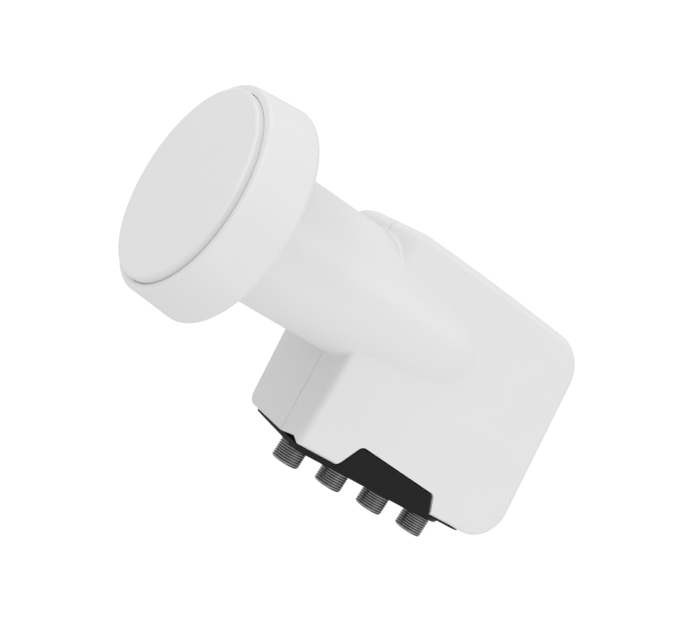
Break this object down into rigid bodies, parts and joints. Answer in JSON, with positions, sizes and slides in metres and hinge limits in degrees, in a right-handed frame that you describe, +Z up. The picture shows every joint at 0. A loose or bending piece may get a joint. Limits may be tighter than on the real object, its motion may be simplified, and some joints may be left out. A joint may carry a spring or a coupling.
{
  "type": "satellite LNB",
  "caption": "Satellite dish receiving head: round feed cap, clamping neck and a white housing over a black base with a diagonal row of threaded coaxial sockets.",
  "frame": {"origin": "on the feed axis, within the neck that the dish arm's clamp holds", "axes": "+X forward along the feed axis towards the dish, +Z up, sockets pointing down, +Y towards the side with the notch"},
  "size_m": [0.1484, 0.0666, 0.0895],
  "materials": {
    "white_housing": "satin moulded white",
    "white_window": "smooth moulded white",
    "black_base": "satin moulded black",
    "nickel": "dark nickel plate",
    "seal_rubber": "matt black",
    "cast_alloy": "as cast",
    "screw_steel": "zinc plated",
    "tinned_sheet": "tin plated",
    "laminate": "green lacquer",
    "insulator": "natural white",
    "contact_brass": "bright",
    "chip_resin": "moulded black"
  },
  "bodies": {
    "root": {"feed_window": "white_window", "window_seal": "seal_rubber", "cap_shroud": "white_housing", "near_shell": "white_housing", "far_shell": "white_housing", "socket_base": "black_base", "socket_seals": "seal_rubber", "chassis": "cast_alloy", "chassis_lid": "cast_alloy", "lid_screws": "screw_steel", "rf_board": "laminate", "probe_horizontal": "contact_brass", "probe_vertical": "contact_brass", "shield_can": "tinned_sheet", "pll_chip": "chip_resin", "switch_chip": "chip_resin", "regulator": "chip_resin", "socket_1": "nickel", "insulator_1": "insulator", "contact_1": "contact_brass", "socket_2": "nickel", "insulator_2": "insulator", "contact_2": "contact_brass", "socket_3": "nickel", "insulator_3": "insulator", "contact_3": "contact_brass", "socket_4": "nickel", "insulator_4": "insulator", "contact_4": "contact_brass"}
  },
  "joints": []
}
